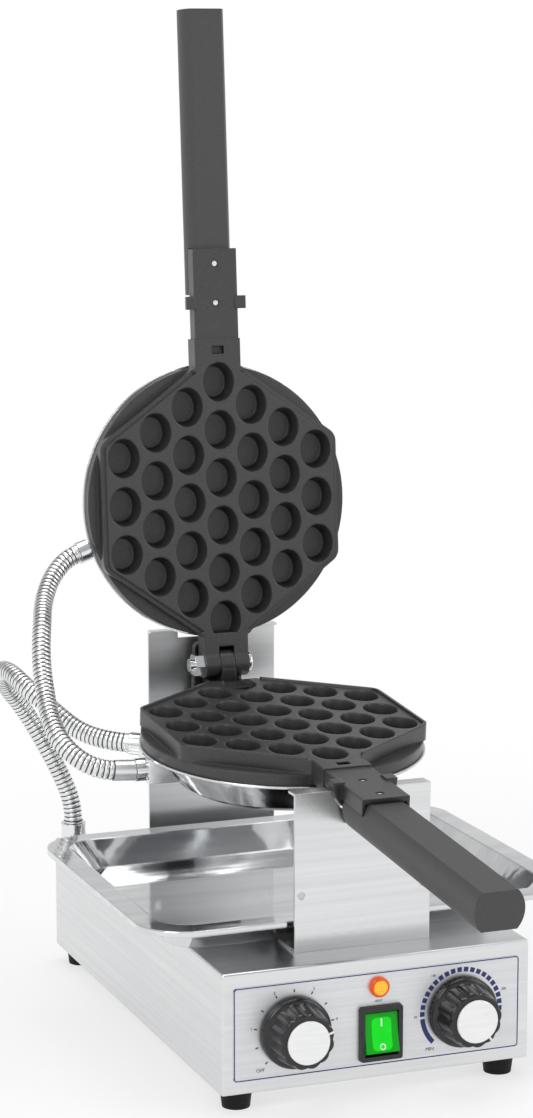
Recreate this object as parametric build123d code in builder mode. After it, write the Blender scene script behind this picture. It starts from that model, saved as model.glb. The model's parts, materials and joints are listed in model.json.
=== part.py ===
from build123d import *
from math import cos, radians, sin, tan
import os

# Rotating bubble-waffle iron on a sheet-metal base, in millimetres.
# X runs across the machine, Y from the handles (-Y) to the rear bracket (+Y), Z is up.
# The origin is under the middle of the whole machine, at the level of its feet.

# Base housing
base_width = 188.0
base_depth = 312.0
base_height = 70.0
foot_height = 11.0
sheet = 1.5
machine_x = -9.7
machine_y = 70.43
front_y = -148.0
rear_y = front_y + base_depth
base_top = foot_height + base_height

# Brackets that carry the mould
bracket_sheet = 1.5
front_bracket_y = -124.7
front_bracket_half = 41.6
front_bracket_rise = 92.4
rear_bracket_y = 124.2
rear_bracket_half = 42.7
rear_bracket_rise = 140.5
rear_bracket_tab = 4.4
bracket_foot = 26.0

# Mould: two equal halves hinged at the rear, turning together about its long axis
parting_height = 188.0
mould_dip = 4.25
lid_open = 98.8
hinge_back = 102.7
hinge_up = 6.2
parting_gap = 0.3
pitch = 30.0
column_step = 21.3
cup_rim = (10.6, 12.6)
cup_floor = (8.2, 9.8)
cup_depth = 12.0
deck_half = 78.5
deck_corner = 39.0
deck_end = 84.6
deck_depth = 9.0
disc_radius = 85.3
casting_depth = 16.0
neck_half = 15.0
neck_depth = 13.0
neck_end = 102.0
arm_end = 158.0
arm_half = 14.3
arm_wall = 1.8
arm_top = 0.9
arm_plate = 3.1
arm_skirt = 10.0
journal_radius = 19.6
journal_clearance = 1.0
journal_span = (120.5, 128.5)
grip_start = 129.5
grip_end = 306.0
tang_start = 112.0
tang_bottom = 11.0
grip_top = arm_top + arm_plate
grip_bottom = 25.2
grip_flat = 10.2
grip_bulge = 14.3
grip_screw_at = (124.4, 148.8)

# Hinge and pivot
pin_radius = 4.0
running_clearance = 0.05
boss_radius = 8.6
lug_half = 4.7
fork_gap = 5.0
fork_half = 14.5
slot_start = 91.5
block_front = 113.0
block_depth = 5.0
block_half = 16.0
shaft_radius = 6.0
bush_radius = 8.5

# Covers, heaters and hose fittings
cover_rim = 86.5
cover_flange = {"lower": 82.0, "upper": 55.5}
cover_floor = {"lower": 60.0, "upper": 49.5}
cover_depth = {"lower": 39.0, "upper": 24.4}
cover_sheet = 1.2
heater_ring = 45.5
heater_tube = 3.4
fitting_size = {"lower": 15.0, "upper": 8.0}
fitting_depth = {"lower": 24.8, "upper": 20.4}
fitting_inner = 66.0
fitting_step = 87.0
fitting_outer = 94.0
fitting_bore = 2.8
sleeve_radius = 6.9
hose_radius = 5.75
exit_run = 13.0
stud_radius = 3.0
link_lower_angle = 180.0
link_upper_angle = -18.0
supply_angle = 213.0

# Drip tray
tray_width = 269.0
tray_front = -118.0
tray_rear = 105.0
tray_height = 17.0
tray_rim = 12.0
tray_slope = 6.0
tray_sheet = 1.0
tray_corner = 30.0

# Control panel
knob_z = 44.0
knob_x = 51.2
knob_radius = 19.5
knob_height = 21.0
cap_radius = 12.5
lamp_z = 64.0
lamp_radius = 5.9
switch_z = 37.0
switch_x = 1.0

os.makedirs("parts", exist_ok=True)


def write(builder, name):
    """Labels one finished piece and writes it."""
    builder.part.label = name
    export_step(builder.part, f"parts/{name}.step")


def level(z):
    """Horizontal plane at height z, centred on the machine."""
    return Plane(origin=(machine_x, machine_y, z))


def facing(y, z=0.0):
    """Upright plane across the machine, looking to the front: X across, Y up."""
    return Plane(origin=(machine_x, machine_y + y, z), x_dir=(1, 0, 0), z_dir=(0, -1, 0))


def sideways(x, z=0.0):
    """Upright plane along the machine: X to the rear, Y up."""
    return Plane(origin=(machine_x + x, machine_y, z), x_dir=(0, 1, 0), z_dir=(1, 0, 0))


def direction(angle):
    """Unit vector in the YZ plane, from +Y towards +Z."""
    return Vector(0, cos(radians(angle)), sin(radians(angle)))


# The mould's own frames. In each half X runs across, Y from the hinge to the handle
# and Z from the parting face into the metal.
mould_centre = Vector(machine_x, machine_y, parting_height)
mould_along = direction(180 + mould_dip)
mould_up = direction(90 + mould_dip)
hinge_point = mould_centre - mould_along * hinge_back + mould_up * hinge_up
lid_along = direction(180 + mould_dip - lid_open)
lid_depth = direction(90 + mould_dip - lid_open)
lid_centre = hinge_point + lid_along * hinge_back - lid_depth * hinge_up
lower_half = Plane(origin=mould_centre, x_dir=(1, 0, 0), z_dir=mould_up * -1)
upper_half = Plane(origin=lid_centre, x_dir=(-1, 0, 0), z_dir=lid_depth)


def across(half, y):
    """Plane square to a half's length at y: X across, Y into the metal."""
    return Plane(
        origin=half.from_local_coords(Vector(0, y, 0)), x_dir=half.x_dir, z_dir=half.y_dir * -1
    )


def lengthwise(half, x):
    """Plane along a half's length at x: X to the handle, Y into the metal."""
    return Plane(
        origin=half.from_local_coords(Vector(x, 0, 0)), x_dir=half.y_dir, z_dir=half.x_dir
    )


halves = {"lower": lower_half, "upper": upper_half}


def fitting_plane(side, angle, reach):
    """Plane square to the radius at an angle of one half, reach from its centre."""
    half = halves[side]
    radial = half.x_dir * cos(radians(angle)) + half.y_dir * sin(radians(angle))
    middle = half.from_local_coords(Vector(0, 0, fitting_depth[side]))
    return Plane(origin=middle + radial * reach, x_dir=half.z_dir, z_dir=radial)


cup_centres = [
    (column * column_step, (row - (5 - abs(column)) / 2) * pitch)
    for column in range(-3, 4)
    for row in range(6 - abs(column))
]
hex_corners = [
    (deck_half, -deck_corner),
    (deck_half, deck_corner),
    (neck_half, deck_end),
    (-neck_half, deck_end),
    (-deck_half, deck_corner),
    (-deck_half, -deck_corner),
    (-neck_half, -deck_end),
    (neck_half, -deck_end),
]


def hexagon(inset):
    """Sketches the deck's long hexagon with round corners, drawn in by inset."""
    with BuildSketch(mode=Mode.PRIVATE) as outline:
        Polygon(*hex_corners, align=None)
        side_corners = outline.vertices().filter_by(lambda v: abs(v.X) > deck_half - 1)
        fillet(side_corners, 9)
        if inset:
            offset(amount=-inset, kind=Kind.INTERSECTION)
    add(outline.sketch)


def perimeter_ring(half, width, start, height, clear_y):
    """Solid ring along the deck's edge, left out at both necks."""
    with BuildPart(mode=Mode.PRIVATE) as ring:
        with BuildSketch(half.offset(start)):
            hexagon(0)
            with BuildSketch(mode=Mode.PRIVATE) as inner:
                hexagon(width)
            add(inner.sketch, mode=Mode.SUBTRACT)
            for end in (-1, 1):
                with Locations((0, end * (clear_y + 10))):
                    Rectangle(2 * neck_half + 4, 20, mode=Mode.SUBTRACT)
        extrude(amount=height)
    return ring.part


def one_cup(half):
    """One tapered oval cup, cut from the parting face."""
    with BuildPart(mode=Mode.PRIVATE) as cup:
        with BuildSketch(half.offset(-1)):
            Ellipse(*cup_rim)
        with BuildSketch(half.offset(cup_depth)):
            Ellipse(*cup_floor)
        loft(ruled=True)
    return cup.part


def casting(half, top):
    """Deck, disc, neck, channel arm and half journal, common to both halves."""
    with BuildPart() as body:
        with BuildSketch(half.offset(top)):
            hexagon(0)
        extrude(amount=deck_depth - top)
        with BuildSketch(half.offset(deck_depth)):
            Circle(disc_radius)
        extrude(amount=casting_depth - deck_depth)
        with BuildSketch(half.offset(top)):
            with Locations((0, (deck_end + neck_end) / 2 - 2)):
                Rectangle(2 * neck_half, neck_end - deck_end + 4)
        extrude(amount=neck_depth - top)
        # Channel arm: a top plate with two short skirts, open on its outer side.
        with BuildSketch(across(half, neck_end - 1)):
            with Locations((0, (arm_top + arm_skirt) / 2)):
                Rectangle(2 * arm_half, arm_skirt - arm_top)
            with Locations((0, (grip_top + arm_skirt) / 2)):
                Rectangle(2 * (arm_half - arm_wall), arm_skirt - grip_top, mode=Mode.SUBTRACT)
        extrude(amount=-(arm_end - neck_end + 1))
        # Half journal that turns in the front bracket's notch.
        with BuildSketch(across(half, journal_span[0])):
            Circle(journal_radius)
            with Locations((0, (top - journal_radius) / 2)):
                Rectangle(2 * journal_radius, journal_radius + top, mode=Mode.SUBTRACT)
            with Locations((0, tang_bottom / 2)):
                Rectangle(2 * (arm_half - arm_wall), tang_bottom, mode=Mode.SUBTRACT)
        extrude(amount=-(journal_span[1] - journal_span[0]))
        with BuildSketch(across(half, journal_span[0])):
            with Locations((0, (arm_top + grip_top) / 2)):
                Rectangle(2 * arm_half, arm_plate)
        extrude(amount=-(journal_span[1] - journal_span[0]))
        # Cups, pocket in the neck and holes for the grip screws.
        cup = one_cup(half)
        place, back = half.location, half.location.inverse()
        with Locations(*[place * Location((x, y, 0)) * back for x, y in cup_centres]):
            add(cup, mode=Mode.SUBTRACT)
        with BuildSketch(half):
            with Locations((0, 95)):
                Rectangle(8, 5)
        extrude(amount=4, mode=Mode.SUBTRACT)
        with BuildSketch(half):
            with Locations(*[(0, y) for y in grip_screw_at]):
                Circle(2)
        extrude(amount=grip_top + 1, mode=Mode.SUBTRACT)
    return body


# Lower casting: lip round the deck, tail under the fork and the hinge lug.
with BuildPart() as lower_casting:
    add(casting(lower_half, 0).part)
    add(perimeter_ring(lower_half, 1.8, -1.2, 1.2, deck_end - 6))
    with BuildSketch(lengthwise(lower_half, -11)):
        with Locations((-(80 + block_front) / 2, 9)):
            Rectangle(block_front - 80, 10)
    extrude(amount=22)
    with BuildSketch(lengthwise(lower_half, -lug_half)):
        with Locations((-hinge_back, -hinge_up)):
            Circle(boss_radius)
        with Locations((-(92.5 + block_front - 0.4) / 2, 2)):
            Rectangle(block_front - 0.4 - 92.5, 14)
    extrude(amount=2 * lug_half)
    with BuildSketch(lengthwise(lower_half, -lug_half)):
        with Locations((-hinge_back, -hinge_up)):
            Circle(pin_radius)
    extrude(amount=2 * lug_half, mode=Mode.SUBTRACT)
    with BuildSketch(lower_half):
        with Locations((0, -(slot_start + 6))):
            Rectangle(2 * neck_half + 2, 12)
            Rectangle(2 * lug_half, 12, mode=Mode.SUBTRACT)
    extrude(amount=3.9, mode=Mode.SUBTRACT)
write(lower_casting, "lower_casting")

# Upper casting: rebate for the lip, and a fork that straddles the lug.
with BuildPart() as upper_casting:
    add(casting(upper_half, parting_gap).part)
    add(perimeter_ring(upper_half, 2.8, 0, 1.8, deck_end - 3), mode=Mode.SUBTRACT)
    with BuildSketch(lengthwise(upper_half, -fork_half)):
        with Locations((-hinge_back, hinge_up)):
            Circle(boss_radius)
        with Locations((-(83 + hinge_back) / 2, (parting_gap + neck_depth) / 2)):
            Rectangle(hinge_back - 83, neck_depth - parting_gap)
    extrude(amount=2 * fork_half)
    with BuildSketch(across(upper_half, -slot_start)):
        with Locations((0, 6)):
            Rectangle(2 * fork_gap, 40)
    extrude(amount=30, mode=Mode.SUBTRACT)
    with BuildSketch(lengthwise(upper_half, -fork_half)):
        with Locations((-hinge_back, hinge_up)):
            Circle(pin_radius + running_clearance)
    extrude(amount=2 * fork_half, mode=Mode.SUBTRACT)
write(upper_casting, "upper_casting")


def grip(half):
    """Bulging handle bar with a flat tang that lies in the channel arm."""
    with BuildPart() as bar:
        with BuildSketch(across(half, grip_start)):
            with BuildLine():
                middle = (grip_top + grip_bottom) / 2
                top_line = Line((-grip_flat, grip_top), (grip_flat, grip_top))
                ThreePointArc(top_line @ 1, (grip_bulge, middle), (grip_flat, grip_bottom))
                bottom_line = Line((grip_flat, grip_bottom), (-grip_flat, grip_bottom))
                ThreePointArc(bottom_line @ 1, (-grip_bulge, middle), (-grip_flat, grip_top))
            make_face()
        extrude(amount=-(grip_end - grip_start))
        with BuildSketch(across(half, arm_end + 0.5)):
            for end in (-1, 1):
                with Locations((end * (arm_half + 2 - arm_wall), 5)):
                    Rectangle(4, 2 * (arm_skirt + 0.4 - 5))
        extrude(amount=arm_end - grip_start + 2, mode=Mode.SUBTRACT)
        tang_half = arm_half - arm_wall - 0.3
        with BuildSketch(across(half, tang_start)):
            with Locations((0, (grip_top + tang_bottom) / 2)):
                Rectangle(2 * tang_half, tang_bottom - grip_top)
        extrude(amount=-(grip_start - tang_start))
        with BuildSketch(half.offset(grip_top)):
            with Locations(*[(0, y) for y in grip_screw_at]):
                Circle(2)
        extrude(amount=6, mode=Mode.SUBTRACT)
    return bar


def grip_screws(half):
    """Two low-head screws that hold the bar in the arm."""
    with BuildPart() as screws:
        spots = [(0, y) for y in grip_screw_at]
        with BuildSketch(half.offset(arm_top)):
            with Locations(*spots):
                Circle(3.4)
        extrude(amount=-0.7)
        with BuildSketch(half.offset(arm_top)):
            with Locations(*spots):
                Circle(2)
        extrude(amount=grip_top - arm_top + 5.6)
    return screws


def cover(side, angles):
    """Pressed dish over the heater, with a square hole for each hose fitting."""
    half = halves[side]
    flange, floor, depth = cover_flange[side], cover_floor[side], cover_depth[side]
    with BuildPart() as dish:
        with BuildSketch(across(half, 0)):
            with BuildLine():
                Polyline(
                    (cover_rim, casting_depth),
                    (cover_rim, casting_depth + 1.4),
                    (flange, casting_depth + 1.4),
                    (floor + 4, depth - 2.5),
                    (floor, depth),
                    (0, depth),
                    (0, depth - cover_sheet),
                    (floor - 0.6, depth - cover_sheet),
                    (floor + 2.9, depth - 3.3),
                    (flange - 1.4, casting_depth),
                    close=True,
                )
            make_face()
        revolve(axis=Axis(half.origin, half.z_dir))
        for angle in angles:
            with BuildSketch(fitting_plane(side, angle, fitting_inner)):
                Rectangle(fitting_size[side], fitting_size[side])
            extrude(amount=fitting_outer - fitting_inner, mode=Mode.SUBTRACT)
        with BuildSketch(half.offset(depth - cover_sheet)):
            Circle(stud_radius)
        extrude(amount=cover_sheet, mode=Mode.SUBTRACT)
    return dish


def heater(half):
    """Bent tubular heater against the casting's back."""
    with BuildPart() as element:
        with BuildSketch(across(half, 0)):
            with Locations((heater_ring, casting_depth + heater_tube)):
                Circle(heater_tube)
        revolve(axis=Axis(half.origin, half.z_dir), revolution_arc=320)
    return element


def cover_bolt(side):
    """Stud and nut that hold the dish to the casting."""
    half = halves[side]
    depth = cover_depth[side]
    with BuildPart() as stud:
        with BuildSketch(half.offset(casting_depth)):
            Circle(stud_radius)
        extrude(amount=depth - casting_depth + 2)
        with BuildSketch(half.offset(depth)):
            RegularPolygon(6, 6)
        extrude(amount=4.5)
    return stud


def fitting(side, angle):
    """Square box on the dish with a round sleeve for the hose."""
    with BuildPart() as box:
        with BuildSketch(fitting_plane(side, angle, fitting_inner)):
            Rectangle(fitting_size[side], fitting_size[side])
        extrude(amount=fitting_step - fitting_inner)
        with BuildSketch(fitting_plane(side, angle, fitting_step)):
            Circle(sleeve_radius)
        extrude(amount=fitting_outer - fitting_step)
        with BuildSketch(fitting_plane(side, angle, fitting_inner)):
            Circle(fitting_bore)
        extrude(amount=fitting_outer - fitting_inner, mode=Mode.SUBTRACT)
    return box


fitting_angles = {"lower": (link_lower_angle, supply_angle), "upper": (link_upper_angle,)}
for side, half in halves.items():
    write(grip(half), f"{side}_grip")
    write(grip_screws(half), f"{side}_grip_screws")
    write(cover(side, fitting_angles[side]), f"{side}_cover")
    write(heater(half), f"{side}_heater")
    write(cover_bolt(side), f"{side}_cover_nut")
write(fitting("lower", link_lower_angle), "link_lower_fitting")
write(fitting("upper", link_upper_angle), "link_upper_fitting")
write(fitting("lower", supply_angle), "supply_mould_fitting")

# Hinge bolt along X through the lug, with its nut on the left.
pin_plane = Plane(origin=hinge_point, x_dir=(0, 1, 0), z_dir=(1, 0, 0))
cheek_face = fork_half + 0.2
with BuildPart() as hinge_bolt:
    with BuildSketch(pin_plane.offset(-23.5)):
        Circle(pin_radius)
    extrude(amount=23.5 + cheek_face)
    with BuildSketch(pin_plane.offset(cheek_face)):
        Circle(6.5)
    extrude(amount=2.8)
    fillet(hinge_bolt.faces().sort_by(Axis.X)[-1].edges(), 1.2)
write(hinge_bolt, "hinge_bolt")
with BuildPart() as hinge_nut:
    with BuildSketch(pin_plane.offset(-cheek_face)):
        RegularPolygon(7.4, 6)
    extrude(amount=-6.2)
    with BuildSketch(pin_plane.offset(-cheek_face)):
        Circle(pin_radius)
    extrude(amount=-6.2, mode=Mode.SUBTRACT)
write(hinge_nut, "hinge_nut")

# Pivot block on the lower casting's tail, with the shaft that turns in the rear bush.
block_plane = across(lower_half, -block_front)
with BuildPart() as pivot_block:
    with BuildSketch(block_plane):
        with Locations((0, 11.5)):
            RectangleRounded(2 * block_half, 57, 3)
    extrude(amount=block_depth)
write(pivot_block, "pivot_block")
shaft_start = block_front + block_depth
with BuildPart() as pivot_shaft:
    with BuildSketch(across(lower_half, -shaft_start)):
        Circle(8)
    extrude(amount=2.5)
    with BuildSketch(across(lower_half, -shaft_start)):
        Circle(shaft_radius)
    extrude(amount=28)
write(pivot_shaft, "pivot_shaft")
with BuildPart() as pivot_nut:
    with BuildSketch(across(lower_half, -(shaft_start + 13.5))):
        Circle(10.5)
    extrude(amount=1.6)
    with BuildSketch(across(lower_half, -(shaft_start + 15.1))):
        RegularPolygon(10.5, 6)
    extrude(amount=8)
    with BuildSketch(across(lower_half, -(shaft_start + 13.5))):
        Circle(shaft_radius)
    extrude(amount=10, mode=Mode.SUBTRACT)
write(pivot_nut, "pivot_nut")
bush_start = shaft_start + 2.8
with BuildPart() as pivot_bush:
    with BuildSketch(across(lower_half, -bush_start)):
        Circle(bush_radius)
        Circle(shaft_radius + running_clearance, mode=Mode.SUBTRACT)
    extrude(amount=10.4)
write(pivot_bush, "pivot_bush")


# Brackets: sheet bent back at the foot, notched at the top.
def bracket_holes(z):
    """Two small holes through a bracket's face."""
    with BuildPart() as holes:
        with BuildSketch(facing(-200)):
            with Locations((-37.5, z), (37.5, z)):
                Circle(2.2)
        extrude(amount=-400)
    return holes


with BuildPart() as front_bracket:
    top = base_top + front_bracket_rise
    with BuildSketch(sideways(-front_bracket_half)):
        with BuildLine():
            Polyline(
                (front_bracket_y + bracket_foot, base_top),
                (front_bracket_y, base_top),
                (front_bracket_y, top),
                (front_bracket_y + 10, top),
                (front_bracket_y + 10, top - bracket_sheet),
                (front_bracket_y + bracket_sheet, top - bracket_sheet),
                (front_bracket_y + bracket_sheet, base_top + bracket_sheet),
                (front_bracket_y + bracket_foot, base_top + bracket_sheet),
                close=True,
            )
        make_face()
    extrude(amount=2 * front_bracket_half)
    notch_z = parting_height + front_bracket_y * tan(radians(mould_dip))
    with BuildSketch(facing(front_bracket_y - 1)):
        with Locations((0, notch_z)):
            Circle(journal_radius + journal_clearance)
    extrude(amount=-12, mode=Mode.SUBTRACT)
    add(bracket_holes(base_top + 33).part, mode=Mode.SUBTRACT)
write(front_bracket, "front_bracket")

with BuildPart() as rear_bracket:
    top = base_top + rear_bracket_rise
    with BuildSketch(sideways(-rear_bracket_half)):
        with BuildLine():
            Polyline(
                (rear_bracket_y + bracket_foot, base_top),
                (rear_bracket_y, base_top),
                (rear_bracket_y, top - bracket_sheet),
                (rear_bracket_y - rear_bracket_tab, top - bracket_sheet),
                (rear_bracket_y - rear_bracket_tab, top),
                (rear_bracket_y + bracket_sheet, top),
                (rear_bracket_y + bracket_sheet, base_top + bracket_sheet),
                (rear_bracket_y + bracket_foot, base_top + bracket_sheet),
                close=True,
            )
        make_face()
    extrude(amount=2 * rear_bracket_half)
    with BuildSketch(facing(rear_bracket_y - 20)):
        with Locations((0, top)):
            Rectangle(46, 12)
    extrude(amount=-30, mode=Mode.SUBTRACT)
    with BuildSketch(across(lower_half, -bush_start + 4)):
        Circle(bush_radius)
    extrude(amount=20, mode=Mode.SUBTRACT)
    add(bracket_holes(base_top + 42).part, mode=Mode.SUBTRACT)
write(rear_bracket, "rear_bracket")

bracket_screw_spots = [
    (x, y)
    for x in (-28, 28)
    for y in (front_bracket_y + 16, rear_bracket_y + 16)
]
with BuildPart() as bracket_screws:
    with BuildSketch(level(base_top + bracket_sheet)):
        with Locations(*bracket_screw_spots):
            Circle(4)
    extrude(amount=2.2)
write(bracket_screws, "bracket_screws")

# Base housing: folded shell, bottom plate, feet.
panel_holes = [(-knob_x, knob_z, 5.0), (knob_x, knob_z, 5.0), (0, lamp_z, lamp_radius - 0.9)]
switch_cutout = (22.0, 28.0)
gland_spot = (-84.5, 154.0)


def cut_panel(depth):
    """Cuts the openings for spindles, lamp and switch."""
    with BuildPart() as cutter:
        with BuildSketch(facing(front_y - 1)):
            for x, z, radius in panel_holes:
                with Locations((x, z)):
                    Circle(radius)
            with Locations((switch_x, switch_z)):
                Rectangle(*switch_cutout)
        extrude(amount=-depth)
    return cutter


with BuildPart() as base_shell:
    middle_y = (front_y + rear_y) / 2
    with BuildSketch(level(foot_height)):
        with Locations((0, middle_y)):
            Rectangle(base_width, base_depth)
    extrude(amount=base_height)
    fillet(base_shell.edges().filter_by(Axis.Z), 1.5)
    fillet(base_shell.faces().sort_by(Axis.Z)[-1].edges(), 1.4)
    with BuildSketch(level(foot_height)):
        with Locations((0, middle_y)):
            Rectangle(base_width - 2 * sheet, base_depth - 2 * sheet)
    extrude(amount=base_height - sheet, mode=Mode.SUBTRACT)
    add(cut_panel(8).part, mode=Mode.SUBTRACT)
    with BuildSketch(level(base_top - 5)):
        with Locations(gland_spot):
            Circle(6.5)
    extrude(amount=10, mode=Mode.SUBTRACT)
write(base_shell, "base_shell")

with BuildPart() as bottom_plate:
    with BuildSketch(level(foot_height)):
        with Locations((0, middle_y)):
            Rectangle(base_width - 2 * sheet, base_depth - 2 * sheet)
            with GridLocations(60, 14, 2, 5):
                SlotOverall(40, 5, mode=Mode.SUBTRACT)
    extrude(amount=sheet)
write(bottom_plate, "bottom_plate")

foot_spots = [
    (x, y)
    for x in (-base_width / 2 + 13, base_width / 2 - 13)
    for y in (front_y + 13, rear_y - 13)
]
with BuildPart() as feet:
    with BuildSketch(level(0)):
        with Locations(*foot_spots):
            Circle(8)
    extrude(amount=foot_height, taper=-7)
    with BuildSketch(level(0)):
        with Locations(*foot_spots):
            Circle(4)
    extrude(amount=4, mode=Mode.SUBTRACT)
    with BuildSketch(level(0)):
        with Locations(*foot_spots):
            Circle(2)
    extrude(amount=foot_height, mode=Mode.SUBTRACT)
write(feet, "feet")
with BuildPart() as foot_screws:
    with BuildSketch(level(1.5)):
        with Locations(*foot_spots):
            Circle(3.6)
    extrude(amount=2.5)
    with BuildSketch(level(1.5)):
        with Locations(*foot_spots):
            Circle(2)
    extrude(amount=foot_height - 1.5)
write(foot_screws, "foot_screws")

# Control panel film with its cut-outs.
with BuildPart() as control_panel:
    with BuildSketch(facing(front_y)):
        with Locations((0, 45.3)):
            RectangleRounded(175, 54.5, 4)
    extrude(amount=0.5)
    add(cut_panel(3).part, mode=Mode.SUBTRACT)
write(control_panel, "control_panel")
panel_face = front_y - 0.5


def spindle_x(name):
    return -knob_x if name == "timer" else knob_x


for name in ("timer", "thermostat"):
    x = spindle_x(name)
    with BuildPart() as body:
        with BuildSketch(facing(front_y + sheet)):
            with Locations((x, knob_z)):
                if name == "timer":
                    Rectangle(44, 44)
                else:
                    Circle(21)
                Circle(3 + running_clearance, mode=Mode.SUBTRACT)
        extrude(amount=-28)
    write(body, f"{name}_body")
    with BuildPart() as spindle:
        with BuildSketch(facing(front_y + sheet + 20)):
            with Locations((x, knob_z)):
                Circle(3)
        extrude(amount=sheet + 20 + 0.5 + 14)
    write(spindle, f"{name}_spindle")
    with BuildPart() as knob:
        knob_plane = facing(panel_face - 0.6)
        with BuildSketch(knob_plane):
            with Locations((x, knob_z)):
                Circle(knob_radius + 0.8)
        extrude(amount=3)
        with BuildSketch(knob_plane.offset(3)):
            with Locations((x, knob_z)):
                Circle(knob_radius)
        extrude(amount=knob_height - 3, taper=6)
        with BuildSketch(knob_plane.offset(4)):
            with Locations((x, knob_z)):
                with PolarLocations(knob_radius + 0.8, 12):
                    Circle(2.6)
        extrude(amount=knob_height, mode=Mode.SUBTRACT)
        with BuildSketch(knob_plane):
            with Locations((x, knob_z)):
                Circle(3)
        extrude(amount=14 - 0.6, mode=Mode.SUBTRACT)
    write(knob, f"{name}_knob")
    with BuildPart() as cap:
        with BuildSketch(knob_plane.offset(knob_height)):
            with Locations((x, knob_z)):
                Circle(cap_radius)
        extrude(amount=1.6)
        fillet(cap.faces().sort_by(Axis.Y)[0].edges(), 0.8)
    write(cap, f"{name}_knob_cap")

# Rocker switch: frame and body behind the panel, rocker pivoting in the frame.
frame_size = (26.5, 32.5)
rocker_size = (20.0, 25.6)
with BuildPart() as switch_frame:
    with BuildSketch(facing(panel_face)):
        with Locations((switch_x, switch_z)):
            RectangleRounded(*frame_size, 2)
    extrude(amount=3, taper=8)
    with BuildSketch(facing(panel_face)):
        with Locations((switch_x, switch_z)):
            Rectangle(*switch_cutout)
    extrude(amount=-26)
    with BuildSketch(facing(panel_face - 4)):
        with Locations((switch_x, switch_z)):
            Rectangle(rocker_size[0] + 0.6, rocker_size[1] + 0.6)
    extrude(amount=-18, mode=Mode.SUBTRACT)
write(switch_frame, "switch_frame")
rocker_tilt = 9.0
rocker_pivot = panel_face + 6.0
with BuildPart() as switch_rocker:
    with BuildSketch(sideways(switch_x - rocker_size[0] / 2)):
        with BuildLine():
            Polyline(
                (rocker_pivot + 3, switch_z - 4),
                (rocker_pivot + 3, switch_z + 4),
                (rocker_pivot - 4, switch_z + 11.6),
                (rocker_pivot - 7.2, switch_z + 11.8),
                (rocker_pivot - 8.4, switch_z),
                (rocker_pivot - 11.2, switch_z - 10.6),
                (rocker_pivot - 7.6, switch_z - 11.8),
                close=True,
            )
        make_face()
    extrude(amount=rocker_size[0])
write(switch_rocker, "switch_rocker")

# Pilot lamp: chromed ring with a body behind the panel and a ribbed amber lens.
with BuildPart() as lamp_body:
    with BuildSketch(facing(panel_face)):
        with Locations((0, lamp_z)):
            Circle(lamp_radius - 0.9)
    extrude(amount=-22)
write(lamp_body, "lamp_body")
with BuildPart() as lamp_lens:
    with BuildSketch(facing(panel_face)):
        with Locations((0, lamp_z)):
            Circle(lamp_radius)
    extrude(amount=3.2)
    fillet(lamp_lens.faces().sort_by(Axis.Y)[0].edges(), 1.6)
write(lamp_lens, "lamp_lens")

# Terminal block on the bottom plate, where the hose's leads end.
with BuildPart() as terminal_block:
    with BuildSketch(level(foot_height + sheet)):
        with Locations((-50, rear_y - 50)):
            Rectangle(20, 52)
    extrude(amount=14)
    with BuildSketch(level(foot_height + sheet + 14)):
        with Locations((-50, rear_y - 50)):
            with GridLocations(0, 10, 1, 5):
                Circle(2.4)
    extrude(amount=-9, mode=Mode.SUBTRACT)
write(terminal_block, "terminal_block")

# Gland on the base's top where the supply hose goes in, with its nut inside.
gland_rise = 12.0
gland_bore = 4.0
with BuildPart() as base_gland:
    with BuildSketch(level(base_top)):
        with Locations(gland_spot):
            Circle(8)
    extrude(amount=gland_rise)
    with BuildSketch(level(base_top)):
        with Locations(gland_spot):
            Circle(6.5)
    extrude(amount=-9)
    with BuildSketch(level(base_top + gland_rise)):
        with Locations(gland_spot):
            Circle(gland_bore)
    extrude(amount=-(gland_rise + 9), mode=Mode.SUBTRACT)
write(base_gland, "base_gland")
with BuildPart() as gland_nut:
    with BuildSketch(level(base_top - sheet)):
        with Locations(gland_spot):
            RegularPolygon(7.8, 6)
            Circle(6.5, mode=Mode.SUBTRACT)
    extrude(amount=-4)
write(gland_nut, "gland_nut")

# Drip tray: sloping walls, wide flat rim with a turned-down edge.
tray_length = tray_rear - tray_front
tray_middle = (tray_rear + tray_front) / 2


def tray_outline(z, inset, radius):
    """Rounded rectangle of the tray, drawn in by inset, at height z."""
    with BuildSketch(Plane(origin=(0, machine_y + tray_middle, z))) as outline:
        RectangleRounded(tray_width - 2 * inset, tray_length - 2 * inset, radius)
    return outline.sketch


tray_top = base_top + tray_height
floor_inset = tray_rim + tray_slope + 5
with BuildPart() as drip_tray:
    well = [
        tray_outline(base_top, floor_inset, tray_corner - 12),
        tray_outline(tray_top, tray_rim, tray_corner - 8),
    ]
    loft(well, ruled=True)
    extrude(tray_outline(tray_top - 3.5, 0, tray_corner), amount=3.5)
    inside = [
        tray_outline(base_top + tray_sheet, floor_inset + tray_sheet, tray_corner - 13),
        tray_outline(tray_top, tray_rim + tray_sheet, tray_corner - 9),
    ]
    loft(inside, ruled=True, mode=Mode.SUBTRACT)
    with BuildPart(mode=Mode.PRIVATE) as under:
        extrude(tray_outline(tray_top - 3.5, tray_sheet, tray_corner - tray_sheet), amount=2.5)
        loft(well, ruled=True, mode=Mode.SUBTRACT)
    add(under.part, mode=Mode.SUBTRACT)
write(drip_tray, "drip_tray")


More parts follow.
